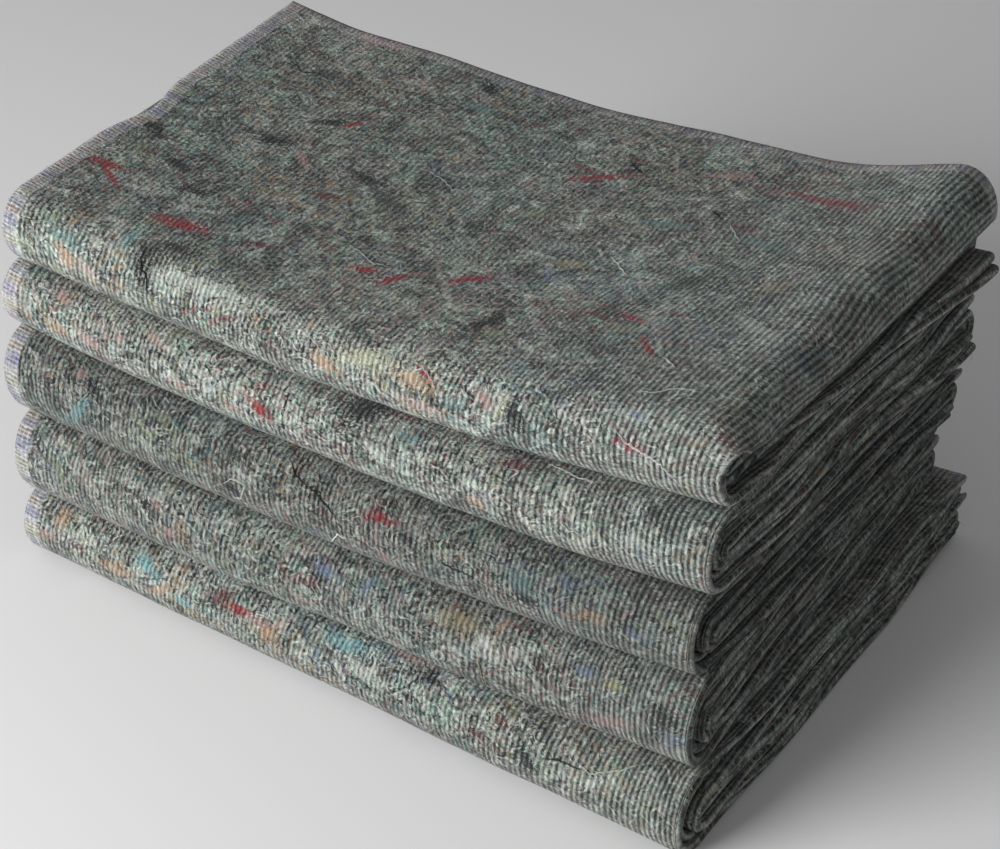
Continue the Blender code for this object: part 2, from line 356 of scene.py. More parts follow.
    def rows(self):
        """Stations along the sheet, from its free end at the top back round to the other free end."""
        inner = np.linspace(RUN_ENDS[-1], 1 - RUN_ENDS[-1], RUN_STEPS).tolist()
        run_shares = [0.0, *RUN_ENDS[:-1], *inner, *[1 - share for share in reversed(RUN_ENDS[:-1])], 1.0]
        turn_steps = {"front outer": FRONT_STEPS, "back": BACK_STEPS, "front inner": INNER_STEPS}
        stations = []
        for number, (part, _) in enumerate(PARTS):
            if part in turn_steps:
                steps = turn_steps[part]
                shares = [step / steps for step in range(1, steps)]
            else:
                shares = run_shares
            stations += [self.row(number, share) for share in shares]
        return stations

    def row(self, number, share):
        """One row of the sheet, at a share of the length of one of its parts."""
        part, length = PARTS[number]
        flat = sum(before for _, before in PARTS[:number]) + share * length
        if number == len(PARTS) - 1 and share == 1.0:
            flat = WHOLE_LENGTH
        row = self.turn_row(part, number // 2, share) if number % 2 else self.run_row(part, number // 2, share)
        row["flat"] = flat
        return row

    def row_at(self, flat):
        """The row at a length along the flat sheet."""
        for number, (_, length) in enumerate(PARTS):
            if flat <= length or number == len(PARTS) - 1:
                return self.row(number, min(flat / length, 1.0))
            flat -= length

    def run_row(self, run, number, share):
        back_share = 1 - share if number % 2 == 0 else share
        upper_outer = run == "upper outer"
        return {
            "part": run,
            "back_share": back_share,
            "turn": None,
            "along": number * DEPTH + share * DEPTH,
            "front_roll": smooth_step(1 - back_share / 0.3) if "outer" in run else 0.0,
            "overhang": mix(FRONT_OVERHANG, 1.0, smooth_step(back_share / 0.12)) if upper_outer else 0.0,
            "layers_above": LAYERS_ABOVE["back" if run == "lower outer" and back_share == 1 else run],
        }

    def turn_row(self, turn, number, share):
        outer = turn == "front outer"
        return {
            "part": turn,
            "back_share": 0.0,
            "turn": share * math.pi,
            "along": (number + 1) * DEPTH + (share - 0.5) * 0.04,
            "front_roll": 1.0 if outer else 0.0,
            "overhang": FRONT_OVERHANG * smooth_step(1 - share / 0.5) if outer else 0.0,
            "layers_above": LAYERS_ABOVE["lower outer" if outer and share > 0.6 else turn],
        }

    def front_centre(self, across, inner):
        if not inner:
            return ROLL
        at_right_end = smooth_step((across - 0.15) / 0.10)
        return ROLL + 0.0004 + self.stand_back * at_right_end

    def back_end(self, part, across, depth):
        """How far back a run reaches: a free edge of each layer, or the centre of the back fold."""
        layer = int(depth / PITCH)
        if part in ("lower outer", "lower inner"):
            return DEPTH - BOOK - self.uneven * (1 + ripple(across, self.index + 5))
        number = layer if part == "upper outer" else layer + BOOK_LAYERS
        wave = ripple(across + 0.1 * self.index, self.index + 0.5 * number)
        return DEPTH - self.uneven * (1 + wave) - 0.0012 * (number % 3)

    def along_book(self, row, across, depth, edge_depth):
        """Place from front to back and height of one point of the book, in the folded blanket."""
        part = row["part"]
        if row["turn"] is None:
            front = self.front_centre(across, "inner" in part)
            back = self.back_end(part, across, edge_depth)
            place = mix(front, back, row["back_share"])
            height = {
                "upper outer": THICKNESS - depth,
                "lower outer": depth,
                "lower inner": ROLL - depth,
                "upper inner": ROLL + depth,
            }[part]
            return place, height
        angle = row["turn"]
        if part == "front outer":
            radius = ROLL - depth
            return ROLL - radius * math.sin(angle), ROLL + radius * math.cos(angle)
        if part == "front inner":
            centre = self.front_centre(across, True)
            return centre - depth * math.sin(angle), ROLL - depth * math.cos(angle)
        radius = BOOK - depth
        centre = self.back_end("lower outer", across, edge_depth)
        return centre + radius * math.sin(angle), BOOK - radius * math.cos(angle)

    # The blanket in the stack

    def settle(self, across, place, height):
        """Moves a point of the folded blanket to where it lies in the stack."""
        if place < ROLL:
            place *= ROLL_FLATTENING
        else:
            place -= (1 - ROLL_FLATTENING) * ROLL
        width_share = across / WIDTH + 0.5
        depth_share = place / (DEPTH - (1 - ROLL_FLATTENING) * ROLL)
        left = mix(self.left_front, self.left_back, depth_share)
        right = mix(self.right_front, self.right_back, depth_share)
        front = mix(self.front_left, self.front_right, width_share)
        back = mix(self.back_left, self.back_right, width_share)
        x = mix(left, right, width_share)
        y = mix(front, back, depth_share)
        spare = (PITCH - SHEET) / 2 if self.lowest else 0.0
        height_share = (height - spare) / (THICKNESS - spare)
        bottom = level_height(self.below, x, y) + (0.0 if self.lowest else STACK_GAP)
        top = level_height(self.above, x, y) - STACK_GAP
        return uneven(Vector((x - MIDDLE_X, y - MIDDLE_Y, mix(bottom, top, height_share))))

    def point(self, station, row, side):
        """A point of the sheet: on its outer face at side 1, on its inner face at -1, proud of them past that."""
        across, depth = self.bend_over(*self.across_sheet(station, side, row), row)
        layer_depth = (station[1] + 0.5) * PITCH
        place, height = self.along_book(row, across, depth, layer_depth)
        return self.settle(across, place, height)

    def cloth_place(self, station, row):
        """Place on the flat sheet, and how far it is from the free long edge and the free end."""
        across = self.across_sheet(station, 0, row)[0]
        from_edge = WIDTH
        if station[0] == "panel" and station[1] in (0, 3):
            from_edge = across - self.left_edge(station[1], row)
        from_end = min(row["flat"], WHOLE_LENGTH - row["flat"])
        return self.flat_across(station, across), row["flat"], from_edge, from_end


def sheet_object(blanket):
    """A flat grid, given its thickness by an extrusion, with each vertex moved to its place in the folds."""
    columns = blanket.columns()
    rows = blanket.rows()
    across_steps = len(columns) - 1
    along_steps = len(rows) - 1
    shape = bmesh.new()
    bmesh.ops.create_grid(shape, x_segments=across_steps, y_segments=along_steps, size=0.5)
    cloth = shape.verts.layers.float_vector.new("cloth")
    free = shape.verts.layers.float_vector.new("free")
    sides = [(vert, INNER_FACE) for vert in shape.verts]
    extruded = bmesh.ops.extrude_face_region(shape, geom=list(shape.faces))
    sides += [(item, OUTER_FACE) for item in extruded["geom"] if isinstance(item, bmesh.types.BMVert)]
    for vert, side in sides:
        station = columns[round((vert.co.x + 0.5) * across_steps)]
        row = rows[round((vert.co.y + 0.5) * along_steps)]
        flat_across, flat_along, from_edge, from_end = blanket.cloth_place(station, row)
        vert[cloth] = (flat_across, flat_along, 3 * blanket.index + side)
        vert[free] = (from_edge, from_end, 0)
        vert.co = blanket.point(station, row, side)
    bmesh.ops.recalc_face_normals(shape, faces=list(shape.faces))
    if shape.calc_volume(signed=True) < 0:
        bmesh.ops.reverse_faces(shape, faces=list(shape.faces))
    mesh = bpy.data.meshes.new("sheet_" + blanket.name)
    shape.to_mesh(mesh)
    shape.free()
    mesh.shade_smooth()
    piece = bpy.data.objects.new("sheet_" + blanket.name, mesh)
    bpy.context.collection.objects.link(piece)
    return piece


class Graph:
    """Adds nodes to a material and links them."""

    def __init__(self, name):
        self.material = bpy.data.materials.new(name)
        self.material.use_nodes = True
        self.tree = self.material.node_tree
        self.shader = self.tree.nodes["Principled BSDF"]

    def put(self, socket, value):
        if isinstance(value, bpy.types.NodeSocket):
            self.tree.links.new(value, socket)
        else:
            socket.default_value = value

    def node(self, kind, inputs, **settings):
        node = self.tree.nodes.new("ShaderNode" + kind)
        for name, value in settings.items():
            setattr(node, name, value)
        for name, value in inputs.items():
            self.put(node.inputs[name], value)
        return node

    def math(self, operation, *values, clamp=False):
        inputs = dict(enumerate(values))
        return self.node("Math", inputs, operation=operation, use_clamp=clamp).outputs[0]

    def vector(self, operation, *values):
        inputs = dict(enumerate(values))
        return self.node("VectorMath", inputs, operation=operation).outputs[0]

    def attribute(self, name):
        return self.node("Attribute", {}, attribute_name=name)

    def split(self, vector):
        return self.node("SeparateXYZ", {0: vector}).outputs

    def join(self, x, y, z):
        return self.node("CombineXYZ", {"X": x, "Y": y, "Z": z}).outputs[0]

    def noise(self, vector, scale, detail=2.0, roughness=0.5, distortion=0.0, dimensions="2D"):
        inputs = {"Vector": vector, "Scale": scale, "Detail": detail, "Roughness": roughness,
                  "Distortion": distortion}
        return self.node("TexNoise", inputs, noise_dimensions=dimensions)

    def between(self, value, low, high):
        """0 below low and 1 above high, smooth between them. With low above high it falls."""
        inputs = {"Value": value, "From Min": low, "From Max": high}
        return self.node("MapRange", inputs, interpolation_type="SMOOTHSTEP").outputs[0]

    def ramp(self, value, stops, interpolation="LINEAR"):
        node = self.node("ValToRGB", {"Fac": value})
        ramp = node.color_ramp
        ramp.interpolation = interpolation
        while len(ramp.elements) < len(stops):
            ramp.elements.new(1.0)
        for element, (place, colour) in zip(ramp.elements, stops):
            element.position = place
            element.color = (*colour, 1.0)
        return node.outputs["Color"]

    def blend(self, share, first, second, mode="MIX"):
        node = self.node("Mix", {}, data_type="RGBA", blend_type=mode)
        self.put(node.inputs["Factor"], share)
        self.put(node.inputs["A"], first)
        self.put(node.inputs["B"], second)
        return node.outputs["Result"]


# Rows of stitches and the felt between them
STITCH_PITCH = 0.00357
STITCH_LENGTH = 0.0027
OVERLOCK_WIDTH = 0.012
OVERLOCK_PITCH = 0.0030

# Places across the flat sheet between which the rows become crisp and even, on the right side of the stack
CRISP_FROM = 0.31
CRISP_TO = 0.50

# How far the pattern is shifted from one face of a sheet to the next, so that no two are alike
FACE_SHIFT = (5.3, 2.9, 0.0)

# How light each blanket's felt is, from the lowest up
LIGHTNESS = (0.86, 0.70, 0.59, 0.90, 0.96)

# Colours of the felt from its darkest to its lightest fibres: place on the ramp, colour
FELT_COLOURS = (
    (0.400, (0.008, 0.010, 0.010)),
    (0.452, (0.060, 0.070, 0.067)),
    (0.500, (0.148, 0.168, 0.159)),
    (0.552, (0.285, 0.311, 0.293)),
    (0.630, (0.580, 0.610, 0.575)),
)

# Colours of the flecks, each for a share of them
FLECK_COLOURS = (
    (0.00, (0.27, 0.035, 0.045)),
    (0.12, (0.42, 0.27, 0.26)),
    (0.30, (0.13, 0.26, 0.28)),
    (0.48, (0.42, 0.24, 0.12)),
    (0.62, (0.12, 0.17, 0.30)),
    (0.70, (0.34, 0.34, 0.20)),
    (0.82, (0.19, 0.10, 0.12)),
)

# Small specks, tufts and wide faint patches of coloured fibres.
# cells of one colour per metre, grain per metre, noise at the edge and inside, how much covers, offset
FLECK_SIZES = (
    (70.0, 210.0, 0.635, 0.69, 0.65, 1.0),
    (30.0, 90.0, 0.615, 0.67, 0.75, 5.0),
    (17.0, 48.0, 0.545, 0.64, 0.36, 9.0),
)
TINT_COLOURS = (
    (0.34, (0.78, 1.03, 0.96)),
    (0.43, (0.96, 1.03, 0.96)),
    (0.50, (1.00, 0.99, 0.98)),
    (0.57, (0.96, 0.98, 1.04)),
    (0.64, (1.10, 0.98, 0.92)),
    (0.72, (0.92, 0.94, 1.12)),
)
EDGE_COLOURS = (
    (0.34, (0.34, 0.33, 0.48)),
    (0.44, (0.50, 0.50, 0.55)),
    (0.52, (0.58, 0.56, 0.56)),
    (0.62, (0.54, 0.42, 0.44)),
    (0.70, (0.48, 0.49, 0.40)),
)
HUES = {
    "red": (0.27, 0.022, 0.035),
    "dark red": (0.130, 0.024, 0.034),
    "rose": (0.44, 0.27, 0.26),
    "orange": (0.47, 0.29, 0.20),
    "ochre": (0.31, 0.25, 0.16),
    "cream": (0.48, 0.47, 0.36),
    "yellow": (0.44, 0.42, 0.17),
    "olive": (0.24, 0.27, 0.18),
    "teal": (0.13, 0.24, 0.25),
    "cyan": (0.20, 0.40, 0.44),
    "blue": (0.17, 0.22, 0.36),
    "violet": (0.30, 0.28, 0.42),
    "black": (0.010, 0.011, 0.013),
    "dark": (0.035, 0.040, 0.042),
    "grey": (0.24, 0.26, 0.25),
    "pale": (0.50, 0.52, 0.49),
    "white": (0.62, 0.62, 0.59),
}

# Tufts that show in the photograph.
# hue, first end in pixels (x, y), last end in pixels (x, y), width in millimetres
PATCHES = (
    ("red", 97, 160, 115, 166, 7),
    ("red", 106, 168, 116, 184, 4),
    ("red", 167, 220, 197, 228, 9),
    ("red", 345, 126, 362, 123, 4),
    ("red", 578, 179, 614, 176, 6),
    ("dark red", 578, 165, 592, 172, 5),
    ("dark red", 628, 158, 645, 162, 5),
    ("red", 788, 193, 815, 197, 4),
    ("red", 818, 200, 855, 206, 9),
    ("red", 455, 281, 482, 278, 6),
    ("red", 358, 268, 374, 271, 5),
    ("red", 384, 281, 404, 276, 5),
    ("dark red", 575, 310, 605, 316, 6),
    ("red", 625, 315, 640, 321, 5),
    ("dark red", 668, 314, 692, 316, 4),
    ("red", 644, 340, 650, 352, 4),
    ("dark red", 318, 194, 334, 198, 7),
    ("dark red", 322, 243, 334, 250, 6),
    ("dark red", 183, 182, 191, 190, 5),
    ("dark red", 530, 122, 542, 126, 6),
    ("dark red", 575, 130, 590, 132, 5),
    ("rose", 360, 38, 395, 45, 8),
    ("rose", 710, 176, 745, 176, 7),
    ("rose", 298, 150, 306, 165, 6),
    ("dark red", 735, 226, 750, 230, 6),
    ("dark red", 925, 226, 940, 240, 9),
    ("dark red", 768, 283, 790, 280, 4),
    ("dark red", 255, 243, 268, 247, 5),
    ("cyan", 124, 242, 138, 234, 8),
    ("teal", 650, 222, 685, 226, 8),
    ("teal", 745, 240, 785, 250, 7),
    ("teal", 470, 105, 490, 112, 8),
    ("ochre", 762, 290, 785, 286, 10),
    ("ochre", 558, 262, 582, 266, 7),
    ("olive", 612, 328, 634, 330, 7),
    ("olive", 485, 334, 500, 332, 6),
    ("olive", 520, 212, 540, 214, 9),
    ("olive", 180, 88, 190, 92, 8),
    ("black", 265, 138, 284, 142, 9),
    ("black", 322, 122, 336, 122, 7),
    ("black", 360, 176, 376, 184, 8),
    ("dark", 378, 188, 402, 215, 14),
    ("black", 150, 122, 158, 132, 9),
    ("dark", 468, 224, 482, 230, 10),
    ("black", 476, 326, 502, 316, 9),
    ("dark", 452, 336, 472, 338, 7),
    ("black", 190, 190, 202, 194, 7),
    ("black", 172, 160, 185, 168, 7),
    ("dark", 668, 288, 712, 276, 9),
    ("black", 565, 136, 572, 140, 8),
    ("black", 487, 85, 495, 92, 9),
    ("dark", 312, 66, 345, 80, 8),
    ("black", 146, 252, 143, 274, 12),
    ("black", 172, 246, 184, 250, 7),
    ("dark", 215, 258, 245, 268, 6),
    ("dark", 730, 312, 745, 304, 6),
    ("white", 52, 188, 68, 192, 5),
    ("white", 115, 220, 123, 225, 7),
    ("white", 509, 211, 518, 206, 4),
    ("pale", 522, 180, 535, 176, 5),
    ("pale", 170, 275, 245, 300, 12),
    ("pale", 525, 252, 542, 256, 6),
    ("pale", 740, 318, 765, 336, 9),
    ("orange", 62, 250, 70, 262, 10),
    ("rose", 82, 264, 92, 276, 7),
    ("teal", 56, 236, 74, 244, 10),
    ("dark red", 218, 320, 230, 318, 5),
    ("orange", 318, 358, 332, 368, 9),
    ("dark red", 322, 376, 332, 378, 4),
    ("cream", 345, 352, 378, 362, 16),
    ("orange", 400, 374, 425, 386, 10),
    ("red", 420, 370, 436, 386, 3),
    ("rose", 405, 400, 430, 410, 8),
    ("rose", 482, 394, 491, 408, 7),
    ("cream", 495, 415, 505, 400, 6),
    ("black", 512, 408, 516, 424, 10),
    ("dark", 548, 396, 582, 388, 7),
    ("dark", 572, 430, 580, 440, 6),
    ("pale", 628, 412, 646, 418, 9),
    ("blue", 632, 412, 642, 418, 4),
    ("red", 626, 445, 638, 450, 5),
    ("dark", 618, 465, 634, 470, 6),
    ("dark red", 724, 430, 733, 448, 9),
    ("rose", 60, 290, 65, 300, 7),
    ("orange", 52, 324, 62, 330, 9),
    ("rose", 82, 335, 95, 345, 8),
    ("dark red", 100, 356, 107, 360, 6),
    ("rose", 152, 336, 160, 344, 7),
    ("rose", 172, 382, 181, 386, 7),
    ("rose", 226, 405, 238, 410, 6),
    ("red", 254, 404, 263, 412, 7),
    ("rose", 250, 398, 266, 416, 8),
    ("black", 356, 414, 376, 404, 18),
    ("teal", 402, 434, 418, 440, 8),
    ("pale", 368, 448, 385, 458, 7),
    ("dark red", 505, 462, 523, 466, 7),
    ("white", 520, 516, 529, 525, 5),
    ("pale", 575, 547, 590, 538, 7),
    ("pale", 620, 535, 650, 546, 8),
    ("black", 652, 510, 660, 520, 9),
    ("dark red", 739, 530, 746, 545, 9),
    ("orange", 470, 500, 482, 506, 5),
    ("cyan", 73, 417, 86, 402, 7),
    ("rose", 75, 372, 88, 376, 6),
    ("black", 92, 385, 98, 396, 8),
    ("dark", 222, 444, 240, 455, 11),
    ("black", 230, 487, 236, 492, 8),
    ("red", 372, 516, 389, 520, 6),
    ("rose", 380, 555, 391, 562, 7),
    ("teal", 512, 576, 528, 585, 11),
    ("black", 520, 598, 528, 602, 8),
    ("blue", 562, 580, 570, 590, 5),
    ("orange", 575, 614, 600, 618, 8),
    ("rose", 558, 611, 566, 617, 6),
    ("blue", 630, 632, 644, 640, 6),
    ("ochre", 687, 652, 692, 640, 7),
    ("rose", 143, 502, 157, 506, 7),
    ("black", 143, 502, 147, 505, 6),
    ("rose", 165, 530, 176, 537, 6),
    ("blue", 362, 590, 370, 585, 6),
    ("blue", 320, 566, 332, 574, 8),
    ("ochre", 448, 616, 480, 628, 14),
    ("orange", 498, 630, 508, 622, 5),
    ("white", 482, 641, 491, 648, 7),
    ("blue", 582, 668, 592, 674, 6),
    ("yellow", 608, 684, 620, 688, 5),
    ("blue", 667, 738, 683, 743, 6),
    ("rose", 590, 718, 622, 724, 9),
    ("dark red", 689, 690, 700, 696, 6),
    ("black", 658, 714, 668, 722, 9),
    ("olive", 55, 465, 62, 478, 7),
    ("orange", 58, 526, 66, 514, 9),
    ("rose", 42, 533, 50, 537, 8),
    ("dark red", 74, 545, 81, 550, 6),
    ("orange", 108, 566, 127, 574, 8),
    ("cyan", 140, 556, 154, 574, 9),
    ("orange", 150, 591, 173, 586, 7),
    ("cyan", 178, 598, 188, 604, 6),
    ("dark red", 217, 597, 228, 592, 9),
    ("red", 230, 606, 245, 612, 5),
    ("rose", 250, 620, 262, 622, 6),
    ("orange", 262, 636, 276, 628, 8),
    ("cyan", 338, 638, 358, 648, 11),
    ("pale", 355, 666, 376, 682, 9),
    ("rose", 400, 650, 426, 664, 7),
    ("black", 424, 674, 433, 680, 8),
    ("dark red", 498, 718, 506, 725, 6),
    ("dark red", 470, 730, 480, 736, 5),
    ("black", 522, 752, 530, 766, 8),
    ("white", 585, 786, 600, 780, 6),
    ("dark red", 782, 466, 797, 456, 8),
    ("dark red", 880, 482, 894, 486, 8),
    ("dark red", 925, 398, 940, 406, 8),
    ("dark red", 740, 682, 750, 672, 7),
)
LONGEST_PATCH = 0.09
FAR_AWAY = 9.0

# Solid tufts are denser than the rest. Rim's outside and inside in half widths, and how much they cover
SOLID_HUES = ("red", "black")
SOLID_TUFT = (1.30, 0.85, 0.97)
LOOSE_TUFT = (1.15, 0.50, 0.82)
PATCH_OVER_ROWS = 0.50
PATCH_OVER_WORN_ROWS = 0.42

# Loose threads that show in the photograph: hue, width in millimetres, pixels they run through
THREADS = (
    ("white", 1.1, ((617, 431), (622, 439), (633, 448), (646, 455), (658, 462), (667, 471), (677, 481), (688, 491))),
    ("white", 0.7, ((144, 439), (147, 450), (156, 464), (170, 475), (190, 488))),
    ("black", 0.9, ((290, 458), (297, 477), (308, 486), (318, 495), (328, 506), (336, 518), (346, 526))),
    ("black", 0.9, ((147, 250), (141, 258), (142, 270), (147, 277), (147, 297))),
    ("pale", 0.8, ((548, 464), (560, 469), (576, 477), (600, 484))),
    ("white", 0.7, ((611, 257), (618, 264), (624, 273), (631, 278))),
    ("white", 0.5, ((728, 222), (733, 232), (742, 244))),
    ("black", 0.8, ((711, 210), (717, 215), (724, 222))),
    ("white", 0.7, ((404, 366), (414, 371), (423, 368), (431, 379), (437, 396))),
    ("white", 0.6, ((496, 413), (503, 403), (511, 397), (518, 399))),
    ("pale", 0.7, ((636, 392), (652, 393), (678, 389), (702, 392))),
    ("ochre", 0.8, ((478, 660), (481, 671), (484, 685), (494, 694), (506, 698))),
    ("white", 0.7, ((222, 484), (232, 478), (245, 485), (241, 498), (228, 495))),
    ("white", 1.2, ((331, 541), (338, 534), (349, 540))),
    ("white", 1.2, ((158, 536), (164, 545))),
    ("pale", 0.8, ((571, 756), (590, 774), (619, 771), (640, 765))),
    ("black", 0.8, ((546, 758), (560, 760), (575, 768), (586, 771))),
    ("white", 0.9, ((664, 358), (671, 364), (678, 372))),
    ("pale", 0.6, ((350, 246), (362, 254), (372, 264), (392, 268))),
    ("black", 0.8, ((438, 560), (448, 566), (462, 572), (476, 578))),
    ("black", 0.7, ((205, 362), (209, 372), (216, 379))),
    ("white", 0.6, ((300, 330), (312, 338), (320, 350), (330, 352))),
    ("pale", 0.5, ((425, 170), (440, 178), (452, 190), (468, 192))),
    ("white", 0.6, ((560, 520), (568, 530), (580, 534))),
    ("dark", 0.7, ((290, 60), (302, 72), (318, 74), (334, 84))),
    ("black", 0.6, ((627, 160), (636, 168), (648, 180))),
    ("white", 0.5, ((85, 300), (92, 308), (104, 310))),
    ("pale", 0.5, ((640, 560), (650, 566), (664, 564))),
)
THREAD_STEP = 2.5
THREAD_WANDER = 0.7
THREAD_HEIGHT = 0.0003
THREAD_PLIES = 5
PLY_SPREAD = 0.00040
PLY_RADIUS = 0.00020

# Tubes of thread and fibre
SKEW = Vector((0.31, 0.52, 0.79))
TUBE_SIDES = 3
END_TAPER = 0.35
EDGE_THREAD_RADIUS = 0.00028
EDGE_STITCH_PITCH = 0.0038
EDGE_TINT_CHANGE = 0.16
END_THREAD_SHADE = 0.6
EDGE_TINTS = (
    (0.34, 0.33, 0.46),
    (0.52, 0.51, 0.56),
    (0.60, 0.58, 0.57),
    (0.56, 0.50, 0.50),
    (0.55, 0.40, 0.42),
    (0.46, 0.47, 0.36),
    (0.30, 0.31, 0.34),
)

# An overlock stitch: how far in from the edge, and how proud of the sheet's faces (1 is on its outer face)
STITCH_PATH = ((0.0085, -1.2), (0.0025, -1.2), (-0.0006, 0.0), (0.0025, 1.2), (0.0085, 1.2))

# Fuzz on each sheet, from the lowest up: faces tried and fibres made
FUZZ_TRIALS = (18000, 18000, 18000, 18000, 42000)
FUZZ_COUNT = (260, 260, 260, 260, 1500)
FUZZ_HUES = ("grey", "grey", "grey", "pale", "pale", "black", "dark", "dark", "dark red", "teal", "ochre")
FUZZ_RADIUS = 0.00006
FUZZ_STEPS = 5
FUZZ_CURL = 0.45
LONG_FUZZ_SHARE = 0.06
FUZZ_LOWEST = 0.0003
OPEN_REACH = 0.04

# The felt is dark, so that light is mostly spent after one bounce
DIFFUSE_BOUNCES = 1

STITCH_THREAD = (0.345, 0.372, 0.350, 1)
PLAIN_FELT = (0.165, 0.182, 0.172, 1)
FELT_TINT = (0.985, 1.035, 0.985)
BLACK_FIBRES = (0.008, 0.009, 0.011, 1)
WHITE_FIBRES = (0.64, 0.65, 0.61, 1)


def stitch_rows(graph, cloth, across, along, crisp):
    """How far a point is onto a row of stitches, how strongly the row shows there, and each stitch's dash."""
    slow = graph.math("MULTIPLY_ADD", graph.noise(cloth, 11.0, 0.0).outputs["Fac"], 0.012, -0.006)
    quick = graph.math("MULTIPLY_ADD", graph.noise(cloth, 170.0, 1.0).outputs["Fac"], 0.0026, -0.0013)
    quick = graph.math("MULTIPLY", quick, graph.math("MULTIPLY_ADD", crisp, -0.70, 1.0))
    wandered = graph.math("ADD", graph.math("ADD", across, slow), quick)
    rows = graph.math("DIVIDE", wandered, STITCH_PITCH)
    row = graph.math("FLOOR", rows)
    within = graph.math("PINGPONG", rows, 0.5)
    line = graph.between(within, 0.12, 0.42)
    shift = graph.node("TexWhiteNoise", {"W": row}, noise_dimensions="1D").outputs["Value"]
    shift = graph.math("MULTIPLY", shift, 0.45)
    stitches = graph.math("ADD", graph.math("DIVIDE", along, STITCH_LENGTH), shift)
    dash = graph.between(graph.math("PINGPONG", stitches, 0.5), 0.00, 0.26)
    along_row = graph.join(graph.math("MULTIPLY", row, 5.37), graph.math("MULTIPLY", along, 260.0), 0.0)
    own = graph.between(graph.noise(along_row, 1.0, 2.0, 0.6).outputs["Fac"], 0.34, 0.64)
    around = graph.between(graph.noise(cloth, 42.0, 2.0, 0.6, 0.8).outputs["Fac"], 0.34, 0.58)
    strength = graph.math("MULTIPLY", own, graph.math("MULTIPLY_ADD", around, 0.65, 0.35))
    return line, strength, dash


def felt_lightness(graph, cloth):
    """The mottled grey of the felt, from 0 to 1: clouds, tufts and fine fibres."""
    clouds = graph.noise(cloth, 34.0, 2.0, 0.6, 1.2).outputs["Fac"]
    clumps = graph.noise(cloth, 85.0, 2.0, 0.6, 2.4).outputs["Fac"]
    tufts = graph.noise(cloth, 190.0, 2.0, 0.6, 1.6).outputs["Fac"]
    fibres = graph.noise(cloth, 560.0, 1.0, 0.65).outputs["Fac"]
    light = graph.math("MULTIPLY", clouds, 0.31)
    light = graph.math("MULTIPLY_ADD", clumps, 0.35, light)
    light = graph.math("MULTIPLY_ADD", tufts, 0.20, light)
    return graph.math("MULTIPLY_ADD", fibres, 0.14, light), tufts, fibres


def strands(graph, cloth, offset, scale, width, commonness):
    """Thin crooked lines of fibres, in sparse bundles."""
    moved = graph.vector("ADD", cloth, (offset, 1.7 * offset, 0.0))
    field = graph.noise(moved, scale, 2.0, 0.55, 1.6).outputs["Fac"]
    off_line = graph.math("ABSOLUTE", graph.math("SUBTRACT", field, 0.5))
    line = graph.between(off_line, width, 0.3 * width)
    where = graph.noise(moved, 0.55 * scale, 1.0, 0.5).outputs["Fac"]
    return graph.math("MULTIPLY", line, graph.between(where, 1 - commonness, 1.04 - commonness))


def add_flecks(graph, cloth, colour, worn):
    """Black, white and coloured fibres that lie in the felt in swirls and specks."""
    loose = graph.math("MULTIPLY_ADD", worn, -0.45, 0.80)
    black = graph.noise(cloth, 88.0, 3.0, 0.6, 2.8).outputs["Fac"]
    black_share = graph.math("MULTIPLY", graph.between(black, 0.555, 0.605), graph.math("MULTIPLY_ADD", worn, -0.35, 1.0))
    colour = graph.blend(black_share, colour, BLACK_FIBRES)
    apart = graph.vector("ADD", cloth, (2.9, 8.3, 0.0))
    clump = graph.between(graph.noise(apart, 48.0, 3.0, 0.62, 1.8).outputs["Fac"], 0.585, 0.660)
    colour = graph.blend(graph.math("MULTIPLY", clump, 0.75), colour, BLACK_FIBRES)
    shifted = graph.vector("ADD", cloth, (5.3, 2.1, 0.0))
    white = graph.noise(shifted, 96.0, 3.0, 0.62, 2.4).outputs["Fac"]
    white_share = graph.math("MULTIPLY", graph.between(white, 0.57, 0.65), loose)
    colour = graph.blend(white_share, colour, WHITE_FIBRES)
    for cells, grain, low, high, share, offset in FLECK_SIZES:
        moved = graph.vector("ADD", cloth, (offset, 0.0, 0.0))
        cell = graph.node("TexVoronoi", {"Vector": moved, "Scale": cells}, voronoi_dimensions="2D").outputs["Color"]
        chance = graph.node("SeparateColor", {"Color": cell}).outputs["Red"]
        fleck = graph.ramp(chance, FLECK_COLOURS, "CONSTANT")
        shape = graph.noise(moved, grain, 3.0, 0.6, 2.2).outputs["Fac"]
        colour = graph.blend(graph.math("MULTIPLY", graph.between(shape, low, high), share), colour, fleck)
    colour = graph.blend(strands(graph, cloth, 3.1, 60.0, 0.022, 0.47), colour, BLACK_FIBRES)
    white_strands = graph.math("MULTIPLY", strands(graph, cloth, 7.7, 72.0, 0.020, 0.47), loose)
    return graph.blend(white_strands, colour, WHITE_FIBRES)


